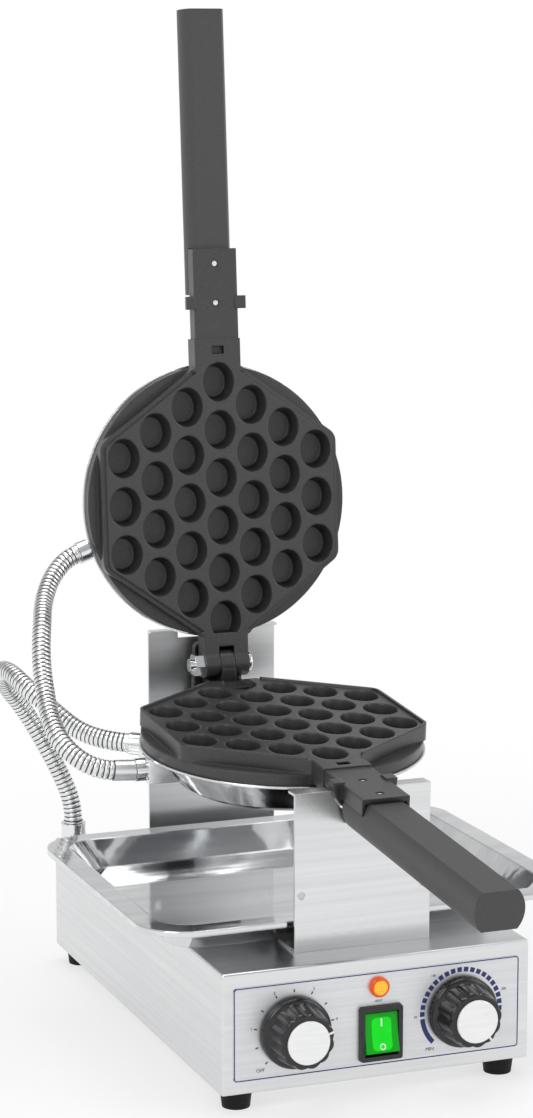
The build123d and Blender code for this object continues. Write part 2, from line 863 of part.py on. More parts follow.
# Armoured hoses, from fitting to fitting. Each route is a list of corners that
# tangent arcs round off, and its first and last runs are straight and square.
def hose(name, route):
    """Sweeps a hose along straight runs joined by tangent arcs, and prints its bends."""
    radii = []
    for before, corner, after in zip(route, route[1:], route[2:]):
        turn = (corner - before).get_angle(after - corner)
        shorter = min((corner - before).length, (after - corner).length)
        radii.append(0.45 * shorter / tan(radians(turn / 2)))
    with BuildPart() as tube:
        with BuildLine() as path:
            FilletPolyline(*route, radius=radii)
        start = path.wire() @ 0
        with BuildSketch(Plane(origin=start, z_dir=path.wire() % 0)):
            Circle(hose_radius)
        sweep(path=path.wire())
    length = path.wire().length
    section = 3.14159265 * hose_radius**2
    print(name, "length", round(length, 1), "radii", [round(r) for r in radii])
    print(name, "volume over section times length", round(tube.part.volume / (section * length), 5))
    return tube


def outlet(side, angle):
    """The two first points of a hose that leaves a fitting squarely."""
    plane = fitting_plane(side, angle, fitting_outer)
    return [plane.origin, plane.origin + plane.z_dir * exit_run]


def beside(*points):
    """Points given from the mould's centre."""
    return [mould_centre + Vector(*point) for point in points]


link_route = (
    outlet("upper", link_upper_angle)
    + beside(
        (-110, 116, 75),
        (-119, 101, 60),
        (-124.5, 85, 51),
        (-129, 73, 40),
        (-132, 62, 27),
        (-133.5, 50, 14),
        (-135.5, 35, 2.5),
        (-133.5, 19, -9.5),
        (-123, 7, -20),
    )
    + outlet("lower", link_lower_angle)[::-1]
)
gland_exit = Vector(machine_x + gland_spot[0], machine_y + gland_spot[1], base_top + gland_rise)
supply_route = (
    outlet("lower", supply_angle)
    + beside(
        (-104, 76, -17),
        (-116, 88, -6),
        (-129, 101, 7),
        (-135, 122, 15),
        (-135, 145, 11),
        (-127, 162, -2.5),
        (-113, 167.5, -20),
        (-102.5, 162, -40),
        (-93, 157, -60),
    )
    + [gland_exit + Vector(0, 0, exit_run), gland_exit]
)
write(hose("link_hose", link_route), "link_hose")
write(hose("supply_hose", supply_route), "supply_hose")
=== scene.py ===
import json
import math
import bmesh
import bpy
from mathutils import Matrix, Vector


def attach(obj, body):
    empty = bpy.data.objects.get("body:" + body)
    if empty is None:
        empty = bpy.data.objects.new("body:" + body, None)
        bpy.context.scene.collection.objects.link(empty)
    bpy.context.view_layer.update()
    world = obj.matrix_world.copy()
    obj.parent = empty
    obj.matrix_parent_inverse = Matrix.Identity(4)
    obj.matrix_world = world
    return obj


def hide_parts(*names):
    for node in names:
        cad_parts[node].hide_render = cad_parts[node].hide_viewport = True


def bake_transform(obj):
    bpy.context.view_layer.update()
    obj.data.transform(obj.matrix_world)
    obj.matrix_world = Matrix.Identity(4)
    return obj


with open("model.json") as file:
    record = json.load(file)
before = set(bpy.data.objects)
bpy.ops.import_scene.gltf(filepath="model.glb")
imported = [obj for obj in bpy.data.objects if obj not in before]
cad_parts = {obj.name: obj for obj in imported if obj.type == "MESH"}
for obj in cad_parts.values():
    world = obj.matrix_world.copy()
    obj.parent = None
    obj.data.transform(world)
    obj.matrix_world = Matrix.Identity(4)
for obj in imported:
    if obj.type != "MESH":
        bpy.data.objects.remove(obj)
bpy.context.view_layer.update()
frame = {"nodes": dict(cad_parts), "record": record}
nodes = frame["nodes"]

# Lengths are in millimetres and times MM in Blender's metres.
MM = 0.001
MACHINE = Vector((-9.7, 70.43, 0))
PARTING_HEIGHT = 188.0
HINGE_ALONG = 102.7
HINGE_ABOVE = 6.2
PANEL_REACH = 148.5
MOULD_CENTRE = MACHINE + Vector((0, 0, PARTING_HEIGHT))
TILT = math.radians(4.25)
OPEN = math.radians(98.8)
ALONG = Vector((0, math.cos(TILT), math.sin(TILT)))
UP = Vector((0, -math.sin(TILT), math.cos(TILT)))
HINGE = MOULD_CENTRE + HINGE_ALONG * ALONG + HINGE_ABOVE * UP
OPEN_UP = Matrix.Rotation(-OPEN, 3, "X") @ UP
PANEL_Y = MACHINE.y - PANEL_REACH
BASE_TOP = 81.0
KNOB_X = 51.2
KNOB_Z = 44.0
LAMP_Z = 64.0
SWITCH_X = 1.0
SWITCH_Z = 37.0
NAVY = (0.018, 0.03, 0.16, 1)
INK = (0.03, 0.03, 0.035, 1)
WHITE = (0.9, 0.9, 0.9, 1)


# Materials

def new_material(name, colour, metallic=0.0, roughness=0.5):
    """A material with one Principled shader; returns its nodes, links and shader."""
    made = bpy.data.materials.new(name)
    made.use_nodes = True
    tree = made.node_tree
    shader = tree.nodes["Principled BSDF"]
    shader.inputs["Base Color"].default_value = (*colour[:3], 1)
    shader.inputs["Metallic"].default_value = metallic
    shader.inputs["Roughness"].default_value = roughness
    return made, tree, shader


def object_noise(tree, stretch, scale, detail=3.0):
    """Noise in the piece's own coordinates, stretched along each axis."""
    coordinates = tree.nodes.new("ShaderNodeTexCoord")
    mapping = tree.nodes.new("ShaderNodeMapping")
    mapping.inputs["Scale"].default_value = stretch
    noise = tree.nodes.new("ShaderNodeTexNoise")
    noise.inputs["Scale"].default_value = scale
    noise.inputs["Detail"].default_value = detail
    tree.links.new(coordinates.outputs["Object"], mapping.inputs["Vector"])
    tree.links.new(mapping.outputs["Vector"], noise.inputs["Vector"])
    return noise.outputs["Fac"]


def remap(tree, value, low, high):
    """Maps a 0 to 1 value onto low to high."""
    spread = tree.nodes.new("ShaderNodeMapRange")
    spread.inputs["From Min"].default_value = 0.3
    spread.inputs["From Max"].default_value = 0.7
    spread.inputs["To Min"].default_value = low
    spread.inputs["To Max"].default_value = high
    tree.links.new(value, spread.inputs["Value"])
    return spread.outputs["Result"]


def tint(tree, value, dark, light):
    """Colour between dark and light, by a 0 to 1 value."""
    ramp = tree.nodes.new("ShaderNodeValToRGB")
    ramp.color_ramp.elements[0].position = 0.3
    ramp.color_ramp.elements[1].position = 0.7
    ramp.color_ramp.elements[0].color = (*dark, 1)
    ramp.color_ramp.elements[1].color = (*light, 1)
    tree.links.new(value, ramp.inputs["Fac"])
    return ramp.outputs["Color"]


def roughen(tree, shader, height, strength, depth, edge=0.0):
    """Bump from a height, over edges softened by a small radius."""
    bump = tree.nodes.new("ShaderNodeBump")
    bump.inputs["Strength"].default_value = strength
    bump.inputs["Distance"].default_value = depth
    tree.links.new(height, bump.inputs["Height"])
    if edge:
        bevel = tree.nodes.new("ShaderNodeBevel")
        bevel.samples = 4
        bevel.inputs["Radius"].default_value = edge
        tree.links.new(bevel.outputs["Normal"], bump.inputs["Normal"])
    tree.links.new(bump.outputs["Normal"], shader.inputs["Normal"])


def brushed_steel():
    made, tree, shader = new_material("brushed_stainless", (0.72, 0.73, 0.74), 1.0, 0.3)
    across = object_noise(tree, (5, 380, 380), 1.0, 4.0)
    along = object_noise(tree, (380, 5, 380), 1.0, 4.0)
    geometry = tree.nodes.new("ShaderNodeNewGeometry")
    split = tree.nodes.new("ShaderNodeSeparateXYZ")
    sideways = tree.nodes.new("ShaderNodeMath")
    sideways.operation = "ABSOLUTE"
    lines = tree.nodes.new("ShaderNodeMix")
    tree.links.new(geometry.outputs["True Normal"], split.inputs["Vector"])
    tree.links.new(split.outputs["X"], sideways.inputs[0])
    tree.links.new(sideways.outputs["Value"], lines.inputs["Factor"])
    tree.links.new(across, lines.inputs["A"])
    tree.links.new(along, lines.inputs["B"])
    drawn = lines.outputs["Result"]
    broad = object_noise(tree, (1, 1, 1), 7.0, 2.0)
    shade = tint(tree, drawn, (0.70, 0.705, 0.715), (0.775, 0.78, 0.785))
    tree.links.new(shade, shader.inputs["Base Color"])
    tree.links.new(remap(tree, broad, 0.26, 0.34), shader.inputs["Roughness"])
    roughen(tree, shader, drawn, 0.04, 0.0002, 0.0006)
    shader.inputs["Anisotropic"].default_value = 0.4
    return made


def mirror_steel():
    made, tree, shader = new_material("mirror_steel", (0.74, 0.75, 0.76), 1.0, 0.08)
    streaks = object_noise(tree, (4, 70, 70), 1.0, 2.0)
    tree.links.new(remap(tree, streaks, 0.04, 0.13), shader.inputs["Roughness"])
    shade = tint(tree, streaks, (0.66, 0.67, 0.68), (0.80, 0.805, 0.81))
    tree.links.new(shade, shader.inputs["Base Color"])
    roughen(tree, shader, streaks, 0.12, 0.0012, 0.0015)
    return made


def coated_casting(name, axis):
    """Dark coated metal with painted shade: near black in hollows and on their walls, which lie along the
    axis.
    """
    made, tree, shader = new_material(name, (0.038, 0.0385, 0.039), 0.0, 0.36)
    grain = object_noise(tree, (1, 1, 1), 1100.0, 3.0)
    blotch = object_noise(tree, (1, 1, 1), 60.0, 3.0)
    face = tint(tree, grain, (0.030, 0.0305, 0.031), (0.050, 0.0505, 0.051))
    # Painted shade: ambient occlusion darkens the coat in hollows.
    hollow = tree.nodes.new("ShaderNodeAmbientOcclusion")
    hollow.samples = 6
    hollow.inputs["Distance"].default_value = 0.014
    painted_occlusion = tree.nodes.new("ShaderNodeMapRange")
    painted_occlusion.inputs["From Min"].default_value = 0.45
    painted_occlusion.inputs["From Max"].default_value = 0.9
    painted_occlusion.inputs["To Min"].default_value = 1.0
    painted_occlusion.inputs["To Max"].default_value = 0.0
    tree.links.new(hollow.outputs["AO"], painted_occlusion.inputs["Value"])
    coordinates = tree.nodes.new("ShaderNodeTexCoord")
    facing = tree.nodes.new("ShaderNodeVectorMath")
    facing.operation = "DOT_PRODUCT"
    facing.inputs[1].default_value = axis
    tree.links.new(coordinates.outputs["Normal"], facing.inputs[0])
    flatness = tree.nodes.new("ShaderNodeMath")
    flatness.operation = "ABSOLUTE"
    tree.links.new(facing.outputs["Value"], flatness.inputs[0])
    wall = tree.nodes.new("ShaderNodeMapRange")
    wall.inputs["From Min"].default_value = 0.35
    wall.inputs["From Max"].default_value = 0.9
    wall.inputs["To Min"].default_value = 1.0
    wall.inputs["To Max"].default_value = 0.12
    tree.links.new(flatness.outputs["Value"], wall.inputs["Value"])
    painted_hollow_shade = tree.nodes.new("ShaderNodeMath")
    painted_hollow_shade.operation = "MULTIPLY"
    tree.links.new(painted_occlusion.outputs["Result"], painted_hollow_shade.inputs[0])
    tree.links.new(wall.outputs["Result"], painted_hollow_shade.inputs[1])
    # The near-black second colour is painted shade, not the coat's own colour.
    coat_and_painted_shade = tree.nodes.new("ShaderNodeMix")
    coat_and_painted_shade.data_type = "RGBA"
    coat_and_painted_shade.inputs["B"].default_value = (0.003, 0.003, 0.0031, 1)
    tree.links.new(painted_hollow_shade.outputs["Value"], coat_and_painted_shade.inputs["Factor"])
    tree.links.new(face, coat_and_painted_shade.inputs["A"])
    tree.links.new(coat_and_painted_shade.outputs["Result"], shader.inputs["Base Color"])
    tree.links.new(remap(tree, blotch, 0.29, 0.37), shader.inputs["Roughness"])
    roughen(tree, shader, grain, 0.2, 0.0003, 0.0018)
    return made


def grip_plastic():
    made, tree, shader = new_material("grip_plastic", (0.046, 0.0465, 0.047), 0.0, 0.46)
    grain = object_noise(tree, (1, 1, 1), 700.0, 3.0)
    shade = tint(tree, grain, (0.042, 0.0425, 0.043), (0.052, 0.0525, 0.053))
    tree.links.new(shade, shader.inputs["Base Color"])
    roughen(tree, shader, grain, 0.12, 0.0003, 0.0009)
    return made


def polished_fittings():
    made, tree, shader = new_material("polished_fittings", (0.82, 0.83, 0.84), 1.0, 0.14)
    smear = object_noise(tree, (1, 1, 1), 180.0, 2.0)
    tree.links.new(remap(tree, smear, 0.09, 0.2), shader.inputs["Roughness"])
    roughen(tree, shader, smear, 0.05, 0.0002, 0.0004)
    return made


def hose_steel():
    made, tree, shader = new_material("hose_steel", (0.82, 0.825, 0.83), 1.0, 0.3)
    smear = object_noise(tree, (1, 1, 1), 90.0, 2.0)
    tree.links.new(tint(tree, smear, (0.76, 0.765, 0.77), (0.88, 0.885, 0.89)), shader.inputs["Base Color"])
    tree.links.new(remap(tree, smear, 0.25, 0.36), shader.inputs["Roughness"])
    return made


# Darker steel for the hose's grooves: painted shade in the creases between windings.
def hose_groove():
    made, tree, shader = new_material("hose_groove", (0.16, 0.16, 0.165), 0.6, 0.55)
    smear = object_noise(tree, (1, 1, 1), 90.0, 2.0)
    tree.links.new(tint(tree, smear, (0.12, 0.12, 0.125), (0.22, 0.22, 0.225)), shader.inputs["Base Color"])
    return made


def zinc_screws():
    made, tree, shader = new_material("zinc_screws", (0.60, 0.61, 0.62), 1.0, 0.32)
    smear = object_noise(tree, (1, 1, 1), 300.0, 2.0)
    tree.links.new(remap(tree, smear, 0.25, 0.42), shader.inputs["Roughness"])
    roughen(tree, shader, smear, 0.1, 0.0002, 0.0003)
    return made


def heater_steel():
    made, tree, shader = new_material("heater_steel", (0.24, 0.23, 0.22), 1.0, 0.5)
    smear = object_noise(tree, (1, 1, 1), 90.0, 3.0)
    tree.links.new(tint(tree, smear, (0.16, 0.15, 0.14), (0.34, 0.31, 0.27)), shader.inputs["Base Color"])
    return made


def foot_rubber():
    made, tree, shader = new_material("foot_rubber", (0.009, 0.009, 0.01), 0.0, 0.6)
    grain = object_noise(tree, (1, 1, 1), 500.0, 2.0)
    tree.links.new(remap(tree, grain, 0.5, 0.7), shader.inputs["Roughness"])
    roughen(tree, shader, grain, 0.1, 0.0003, 0.0008)
    shader.inputs["Specular IOR Level"].default_value = 0.2
    return made


def panel_film():
    made, tree, shader = new_material("panel_film", (0.72, 0.73, 0.745), 0.75, 0.36)
    lines = object_noise(tree, (8, 500, 500), 1.0, 3.0)
    tree.links.new(tint(tree, lines, (0.68, 0.69, 0.71), (0.76, 0.77, 0.785)), shader.inputs["Base Color"])
    roughen(tree, shader, lines, 0.03, 0.0001)
    return made


def black_plastic(name, roughness):
    made, tree, shader = new_material(name, (0.014, 0.014, 0.015), 0.0, roughness)
    smear = object_noise(tree, (1, 1, 1), 120.0, 2.0)
    tree.links.new(remap(tree, smear, roughness - 0.04, roughness + 0.06), shader.inputs["Roughness"])
    roughen(tree, shader, smear, 0.03, 0.0002, 0.0005)
    return made


def cap_foil():
    made, tree, shader = new_material("cap_foil", (0.86, 0.865, 0.87), 0.35, 0.4)
    lines = object_noise(tree, (30, 30, 600), 1.0, 2.0)
    tree.links.new(tint(tree, lines, (0.83, 0.835, 0.84), (0.9, 0.9, 0.905)), shader.inputs["Base Color"])
    return made


def radial(tree, centre, inner, outer):
    """0 inside a circle on the panel and 1 outside it, in the piece's own coordinates."""
    coordinates = tree.nodes.new("ShaderNodeTexCoord")
    flat = tree.nodes.new("ShaderNodeVectorMath")
    flat.operation = "MULTIPLY"
    flat.inputs[1].default_value = (1, 0, 1)
    distance = tree.nodes.new("ShaderNodeVectorMath")
    distance.operation = "DISTANCE"
    distance.inputs[1].default_value = (centre[0] * MM, 0, centre[1] * MM)
    spread = tree.nodes.new("ShaderNodeMapRange")
    spread.inputs["From Min"].default_value = inner * MM
    spread.inputs["From Max"].default_value = outer * MM
    tree.links.new(coordinates.outputs["Object"], flat.inputs[0])
    tree.links.new(flat.outputs["Vector"], distance.inputs[0])
    tree.links.new(distance.outputs["Value"], spread.inputs["Value"])
    return spread.outputs["Result"]


def amber_lens():
    made, tree, shader = new_material("amber_lens", (0.85, 0.20, 0.01), 0.0, 0.22)
    coordinates = tree.nodes.new("ShaderNodeTexCoord")
    dots = tree.nodes.new("ShaderNodeTexVoronoi")
    dots.inputs["Scale"].default_value = 700.0
    dots.inputs["Randomness"].default_value = 0.0
    tree.links.new(coordinates.outputs["Object"], dots.inputs["Vector"])
    lattice = tint(tree, dots.outputs["Distance"], (1.0, 0.52, 0.03), (0.80, 0.17, 0.0))
    rim = tree.nodes.new("ShaderNodeMix")
    rim.data_type = "RGBA"
    rim.inputs["B"].default_value = (0.62, 0.07, 0.0, 1)
    tree.links.new(radial(tree, (MACHINE.x, LAMP_Z), 3.9, 4.4), rim.inputs["Factor"])
    tree.links.new(lattice, rim.inputs["A"])
    tree.links.new(rim.outputs["Result"], shader.inputs["Base Color"])
    tree.links.new(rim.outputs["Result"], shader.inputs["Emission Color"])
    shader.inputs["Emission Strength"].default_value = 0.3
    return made


def lit_green(name, colour, strength):
    made, tree, shader = new_material(name, colour, 0.0, 0.2)
    cloud = object_noise(tree, (1, 1, 1), 60.0, 1.0)
    shade = tint(tree, cloud, tuple(0.85 * c for c in colour[:3]), colour[:3])
    tree.links.new(shade, shader.inputs["Base Color"])
    tree.links.new(shade, shader.inputs["Emission Color"])
    shader.inputs["Emission Strength"].default_value = strength
    shader.inputs["Specular IOR Level"].default_value = 0.25
    return made


def plain_grain(name, colour, roughness, metallic=0.0):
    made, tree, shader = new_material(name, colour, metallic, roughness)
    grain = object_noise(tree, (1, 1, 1), 400.0, 2.0)
    dark = tuple(0.92 * c for c in colour[:3])
    tree.links.new(tint(tree, grain, dark, colour[:3]), shader.inputs["Base Color"])
    return made


materials = {
    "brushed_stainless": brushed_steel(),
    "mirror_steel": mirror_steel(),
    "coated_casting": coated_casting("coated_casting", UP),
    "grip_plastic": grip_plastic(),
    "polished_fittings": polished_fittings(),
    "hose_steel": hose_steel(),
    "zinc_screws": zinc_screws(),
    "heater_steel": heater_steel(),
    "foot_rubber": foot_rubber(),
    "panel_film": panel_film(),
    "black_plastic": black_plastic("black_plastic", 0.3),
    "gloss_knob": black_plastic("gloss_knob", 0.16),
    "cap_foil": cap_foil(),
    "amber_lens": amber_lens(),
    "green_lens": lit_green("green_lens", (0.0, 0.33, 0.006), 0.22),
    "pale_plastic": plain_grain("pale_plastic", (0.78, 0.76, 0.70), 0.5),
    "bush_bronze": plain_grain("bush_bronze", (0.55, 0.40, 0.2), 0.35, 1.0),
}
navy_ink = plain_grain("navy_ink", NAVY, 0.5)
# Black for the printing, also used for the painted shadow rings round the grip screws.
black_print_and_shadow = plain_grain("black_print_and_shadow", INK, 0.6)
white_ink = plain_grain("white_ink", WHITE, 0.5)
bright_green = lit_green("bright_green", (0.0, 0.62, 0.01), 0.42)
# Painted shade for the hose grooves.
groove_shade_steel = hose_groove()
# The lid's casting gets the same painted hollow shade, about the open lid's axis.
lid_casting = coated_casting("lid_casting", OPEN_UP)
bright_zinc = plain_grain("bright_zinc", (0.93, 0.93, 0.94), 0.45, 0.2)


def smooth(mesh, angle=32):
    """Shades a mesh smoothly, with sharp edges past an angle in degrees."""
    for face in mesh.polygons:
        face.use_smooth = True
    mesh.set_sharp_from_angle(angle=math.radians(angle))


for part in frame["record"]["subparts"]:
    node = nodes[part["node"]]
    node.data.materials.clear()
    node.data.materials.append(materials[part["material_slot"]])
    smooth(node.data)
nodes["upper_casting"].data.materials[0] = lid_casting


# Pieces

def add_piece(name, mesh, body, slot, material=None):
    """Puts a mesh on a body, in the record's slot's material or in its own."""
    mesh.materials.clear()
    mesh.materials.append(material or materials[slot])
    piece = bpy.data.objects.new(name, mesh)
    bpy.context.scene.collection.objects.link(piece)
    if body:
        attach(piece, body)
    return piece


def millimetres(points):
    """Points given in millimetres, in metres."""
    return [tuple(c * MM for c in p) for p in points]


def mesh_from(name, points, faces):
    """Mesh from points in millimetres."""
    mesh = bpy.data.meshes.new(name)
    mesh.from_pydata(millimetres(points), [], faces)
    mesh.validate()
    mesh.update()
    return mesh


def prism(name, outline, back, front):
    """Closed plate from a flat outline in X and Z, between two Y places."""
    n = len(outline)
    points = [(x, back, z) for x, z in outline] + [(x, front, z) for x, z in outline]
    faces = [tuple(range(n)), tuple(range(2 * n - 1, n - 1, -1))]
    faces += [(i, i + n, (i + 1) % n + n, (i + 1) % n) for i in range(n)]
    mesh = mesh_from(name, points, faces)
    shaped = bmesh.new()
    shaped.from_mesh(mesh)
    bmesh.ops.recalc_face_normals(shaped, faces=shaped.faces)
    shaped.to_mesh(mesh)
    shaped.free()
    return mesh


def join(name, meshes):
    """One mesh of several."""
    whole = bmesh.new()
    for mesh in meshes:
        whole.from_mesh(mesh)
    joined = bpy.data.meshes.new(name)
    whole.to_mesh(joined)
    whole.free()
    return joined


def arc(centre, radius, start, end, steps):
    """Points on an arc in X and Z, angles in degrees from +X towards +Z."""
    angles = [math.radians(start + (end - start) * i / steps) for i in range(steps + 1)]
    return [(centre[0] + radius * math.cos(a), centre[1] + radius * math.sin(a)) for a in angles]


def sector(centre, inner, outer, start, end, steps=8):
    """Outline of a piece of a ring."""
    return arc(centre, outer, start, end, steps) + arc(centre, inner, end, start, steps)


def rounded_box(centre, width, height, radius):
    """Outline of a rectangle with round corners, in X and Z."""
    points = []
    for sx, sz, start in ((1, 1, 0), (-1, 1, 90), (-1, -1, 180), (1, -1, 270)):
        corner = (centre[0] + sx * (width / 2 - radius), centre[1] + sz * (height / 2 - radius))
        points += arc(corner, radius, start, start + 90, 6)
    return points


def frame_strip(name, centre, width, height, radius, line, back, front):
    """Thin line round a rounded rectangle."""
    outer = rounded_box(centre, width, height, radius)
    inner = rounded_box(centre, width - 2 * line, height - 2 * line, radius - line)
    n = len(outer)
    points = [(x, y, z) for y in (back, front) for x, z in outer + inner]
    faces = []
    for i in range(n):
        j = (i + 1) % n
        faces.append((2 * n + i, 2 * n + j, 3 * n + j, 3 * n + i))
        faces.append((i, n + i, n + j, j))
        faces.append((i, j, 2 * n + j, 2 * n + i))
        faces.append((n + i, 3 * n + i, 3 * n + j, n + j))
    return mesh_from(name, points, faces)


def lettering(name, text, centre, size, face, thickness=0.12):
    """Raised letters on a face that looks to the front."""
    curve = bpy.data.curves.new(name, "FONT")
    curve.body = text
    curve.size = size * MM
    curve.align_x = "CENTER"
    curve.align_y = "CENTER"
    curve.extrude = thickness / 2 * MM
    curve.resolution_u = 3
    written = bpy.data.objects.new(name + "_text", curve)
    bpy.context.scene.collection.objects.link(written)
    bpy.context.view_layer.update()
    shape = bpy.data.meshes.new_from_object(written.evaluated_get(bpy.context.evaluated_depsgraph_get()))
    shape.transform(Matrix.Rotation(math.radians(90), 4, "X"))
    shape.transform(Matrix.Translation(Vector((centre[0], face - thickness / 2, centre[1])) * MM))
    bpy.data.objects.remove(written)
    bpy.data.curves.remove(curve)
    return shape


def turned(name, profile, origin, axis, sides=32):
    """Round mesh from heights and radii, about an axis through an origin in millimetres."""
    turn = Vector((0, 0, 1)).rotation_difference(axis).to_matrix()
    points, faces = [], []
    for height, radius in profile:
        for side in range(sides):
            angle = 2 * math.pi * side / sides
            offset = Vector((radius * math.cos(angle), radius * math.sin(angle), height))
            points.append(origin + turn @ offset)
    for ring in range(len(profile) - 1):
        for side in range(sides):
            here = ring * sides + side
            beside = ring * sides + (side + 1) % sides
            faces.append((here, beside, beside + sides, here + sides))
    return mesh_from(name, points, faces)


# Grip screws: bright heads sunk in holes, each inside a flat near-black ring that is a painted shadow of
# its hole

ARM_FACE = 0.9
SCREW_PLACES = (124.4, 148.8)
HEAD_PROFILE = (
    (-1.5, 0.05), (-1.4, 1.0), (-0.8, 1.1), (-0.7, 1.2),
    (-0.7, 1.55), (-0.8, 1.75), (-1.1, 1.85), (-4.0, 1.85),
)
# Flat dark ring just proud of the arm round each head: painted shadow of the screw hole.
SHADOW_RING_PROFILE = ((-0.6, 1.95), (0.05, 2.0), (0.12, 2.1), (0.12, 2.6), (0.02, 2.75), (-0.3, 2.75))
for side, body in (("lower", "mould"), ("upper", "lid")):
    outward = UP if side == "lower" else -OPEN_UP
    heads, shadow_rings = [], []
    for distance in SCREW_PLACES:
        spot = MOULD_CENTRE - distance * ALONG - ARM_FACE * UP
        if side == "upper":
            spot = MOULD_CENTRE - distance * ALONG + ARM_FACE * UP
            spot = HINGE + Matrix.Rotation(-OPEN, 3, "X") @ (spot - HINGE)
        heads.append(turned("head", HEAD_PROFILE, spot, outward))
        shadow_rings.append(turned("rim", SHADOW_RING_PROFILE, spot, outward))
    head_mesh = join(side + "_grip_heads", heads)
    smooth(head_mesh)
    piece = add_piece(side + "_grip_heads", head_mesh, body, "zinc_screws", bright_zinc)
    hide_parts(side + "_grip_screws")
    # The rings are painted shadow, drawn in the black print material.
    shadow_ring_mesh = join(side + "_grip_shadow_rings", shadow_rings)
    smooth(shadow_ring_mesh)
    add_piece(side + "_grip_shadow_rings", shadow_ring_mesh, body, "coated_casting", black_print_and_shadow)


# Control panel printing

INK_DEPTH = 0.12
PANEL_CENTRE = (MACHINE.x, 45.3)
border = frame_strip(
    "panel_border", PANEL_CENTRE, 174.4, 53.9, 1.9, 0.6, PANEL_Y, PANEL_Y - INK_DEPTH
)
add_piece("panel_border", border, "base", "panel_film", navy_ink)

timer_centre = (MACHINE.x - KNOB_X, KNOB_Z)
ticks = []
for step in range(11):
    angle = 225 - 27 * step
    mark = sector(timer_centre, 22.6, 24.4, angle - 0.9, angle + 0.9, 1)
    ticks.append(prism("tick", mark, PANEL_Y, PANEL_Y - INK_DEPTH))
for number in range(1, 6):
    angle = math.radians(225 - 54 * number)
    spot = (timer_centre[0] + 26.0 * math.cos(angle), timer_centre[1] + 26.0 * math.sin(angle))
    ticks.append(lettering("number", str(number), spot, 2.6, PANEL_Y))
ticks.append(lettering("off", "OFF", (timer_centre[0] - 20.2, timer_centre[1] - 20.6), 2.9, PANEL_Y))
add_piece("timer_scale", join("timer_scale", ticks), "base", "panel_film", black_print_and_shadow)

heat_centre = (MACHINE.x + KNOB_X, KNOB_Z)
segments = [sector(heat_centre, 22.8, 25.6, 186, 224, 14)]
for step in range(20):
    start = 182.5 - step * 9.6
    segments.append(sector(heat_centre, 22.8, 25.6, start - 6.6, start, 3))
arc_meshes = [prism("segment", outline, PANEL_Y, PANEL_Y - INK_DEPTH) for outline in segments]
add_piece("heat_scale", join("heat_scale", arc_meshes), "base", "panel_film", navy_ink)
heat_marks = [lettering("least", "MIN", (heat_centre[0] - 19.4, heat_centre[1] - 20.8), 2.9, PANEL_Y)]
for label, angle in (("50", 182), ("100", 128), ("150", 72), ("200", 20)):
    turn = math.radians(angle)
    spot = (heat_centre[0] + 28.4 * math.cos(turn), heat_centre[1] + 28.4 * math.sin(turn))
    if spot[1] + 1.2 < PANEL_CENTRE[1] + 26:
        heat_marks.append(lettering("degrees", label, spot, 2.0, PANEL_Y))
heat_marks.append(lettering("heat", "HEAT", (MACHINE.x, LAMP_Z - 8.4), 2.0, PANEL_Y))
add_piece("heat_numbers", join("heat_numbers", heat_marks), "base", "panel_film", black_print_and_shadow)


# Knobs: a round skirt, a scalloped grip and a white pointer line

KNOB_LOBES = 12
KNOB_SIDES = 144
KNOB_RINGS = (
    (0.6, 20.2, 0.0), (1.1, 20.8, 0.0), (5.0, 20.6, 0.0), (6.1, 20.0, 0.0), (6.6, 18.9, 0.0),
    (6.8, 18.3, 0.9), (7.6, 17.8, 1.2), (18.6, 16.5, 1.2), (20.2, 16.1, 1.0), (20.8, 15.5, 0.7),
    (21.0, 14.4, 0.0), (21.0, 6.0, 0.0),
)
POINTER_HALF = 0.6


